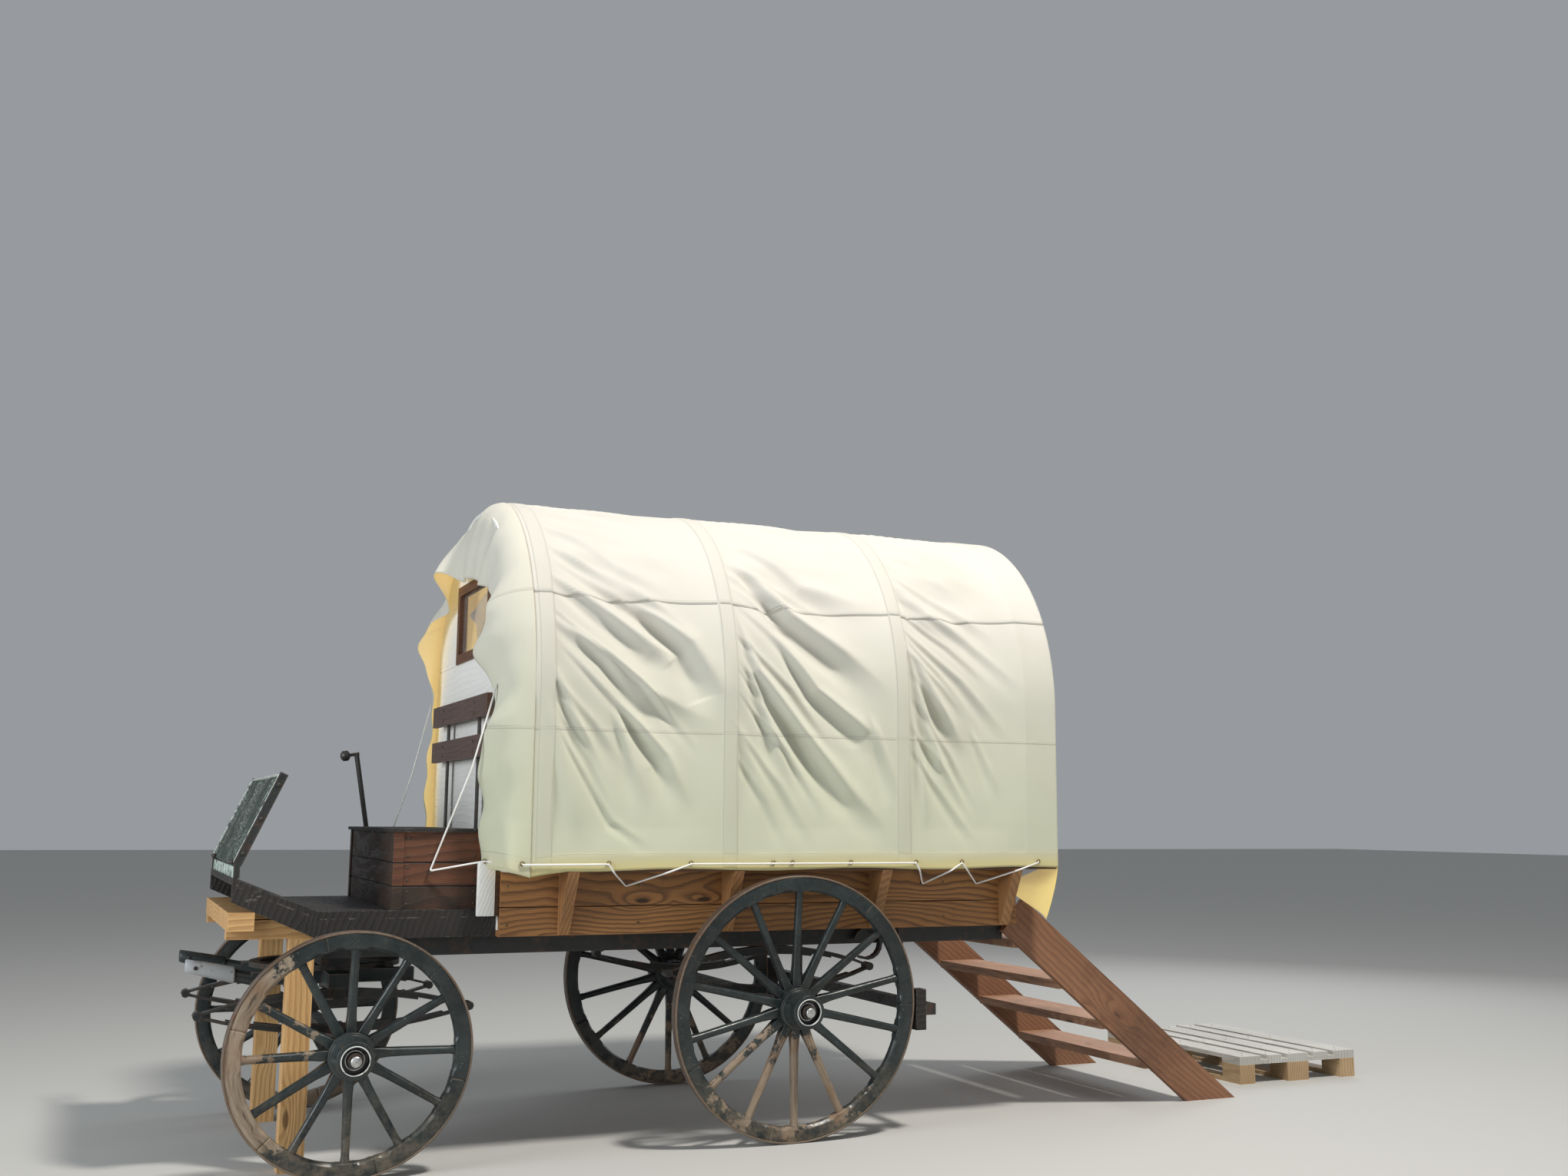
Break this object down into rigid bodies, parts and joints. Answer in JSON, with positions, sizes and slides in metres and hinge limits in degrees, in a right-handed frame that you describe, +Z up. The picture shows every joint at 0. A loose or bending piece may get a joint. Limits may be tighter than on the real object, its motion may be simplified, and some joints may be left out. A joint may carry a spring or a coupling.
{
  "type": "covered wagon",
  "caption": "Sprung covered wagon with a bowed cloth top, plank body, driver's seat box, wooden spoked wheels, rear steps, a landing pallet and timber props.",
  "frame": {"origin": "centre of the bounding box in plan, on the ground the wheels stand on", "axes": "+X forward to the dash, +Y to the wagon's left, +Z up"},
  "size_m": [6.16, 2.0016, 2.88],
  "materials": {
    "wagon_iron": "satin",
    "wheel_paint": "satin",
    "stained_pine": "satin",
    "knee_pine": "satin",
    "new_pine": "matte",
    "grey_pine": "matte",
    "stair_pine": "matte",
    "weathered_wood": "matte",
    "white_board": "satin",
    "brown_frame": "satin",
    "slat_wood": "satin",
    "canvas_cloth": "matte",
    "window_pane": "gloss",
    "tyre_iron": "matte",
    "dash_paint": "satin"
  },
  "bodies": {
    "wagon_body": {"chassis_frame": "wagon_iron", "scroll_irons": "wagon_iron", "turntable_upper": "wagon_iron", "rear_axle": "wagon_iron", "rear_springs": "wagon_iron", "floor": "stained_pine", "side_planks_left": "stained_pine", "side_planks_right": "stained_pine", "knees": "knee_pine", "ledges": "knee_pine", "bows": "knee_pine", "roof_laths": "knee_pine", "canvas_cover": "canvas_cloth", "front_wall": "white_board", "window_frame": "brown_frame", "window_glass": "window_pane", "rear_wall": "white_board", "platform_frame": "weathered_wood", "platform_deck": "weathered_wood", "footboard_cheeks": "weathered_wood", "footboard": "weathered_wood", "dash_panel": "dash_paint", "dash_irons": "wagon_iron", "seat_box": "stained_pine", "backrest_irons": "wagon_iron", "backrest_slats": "slat_wood", "brake_crank": "wagon_iron", "brake_beam": "wagon_iron", "brake_shoes": "weathered_wood", "prop_posts": "new_pine", "prop_bearers": "new_pine", "stair_stringers": "stair_pine", "stair_treads": "stair_pine", "pallet_deck": "grey_pine", "pallet_base": "new_pine"},
    "fore_carriage": {"front_axle": "wagon_iron", "front_springs": "wagon_iron", "bolster": "wheel_paint", "turntable_lower": "wagon_iron", "futchells": "wheel_paint"},
    "rear_door": {"door": "stained_pine", "door_glass": "window_pane"},
    "seat_box_lid": {"seat_lid": "weathered_wood"},
    "rear_left_wheel": {"rear_wheel_left": "wheel_paint", "rear_tyre_left": "tyre_iron"},
    "rear_right_wheel": {"rear_wheel_right": "wheel_paint", "rear_tyre_right": "tyre_iron"},
    "front_left_wheel": {"front_wheel_left": "wheel_paint", "front_tyre_left": "tyre_iron"},
    "front_right_wheel": {"front_wheel_right": "wheel_paint", "front_tyre_right": "tyre_iron"}
  },
  "joints": [
    {"name": "steer", "type": "hinge", "parent": "wagon_body", "child": "fore_carriage", "pos_m": [2.49, 0, 0.6], "axis": [0, 0, 1], "range_deg": [-7, 7]},
    {"name": "rear_left_wheel_spin", "type": "hinge", "parent": "wagon_body", "child": "rear_left_wheel", "pos_m": [0.58, 0.84, 0.57559], "axis": [0, 0.999, -0.0436], "continuous": true},
    {"name": "rear_right_wheel_spin", "type": "hinge", "parent": "wagon_body", "child": "rear_right_wheel", "pos_m": [0.58, -0.84, 0.57559], "axis": [0, 0.999, 0.0436], "continuous": true},
    {"name": "front_left_wheel_spin", "type": "hinge", "parent": "fore_carriage", "child": "front_left_wheel", "pos_m": [2.49, 0.85, 0.47568], "axis": [0, 0.999, -0.0436], "continuous": true},
    {"name": "front_right_wheel_spin", "type": "hinge", "parent": "fore_carriage", "child": "front_right_wheel", "pos_m": [2.49, -0.85, 0.47568], "axis": [0, 0.999, 0.0436], "continuous": true},
    {"name": "door_hinge", "type": "hinge", "parent": "wagon_body", "child": "rear_door", "pos_m": [-0.61, -0.333, 1.6], "axis": [0, 0, 1], "range_deg": [-85, 0]},
    {"name": "lid_hinge", "type": "hinge", "parent": "wagon_body", "child": "seat_box_lid", "pos_m": [1.944, 0, 1.3383], "axis": [0, 1, 0], "range_deg": [-80, 0]}
  ]
}
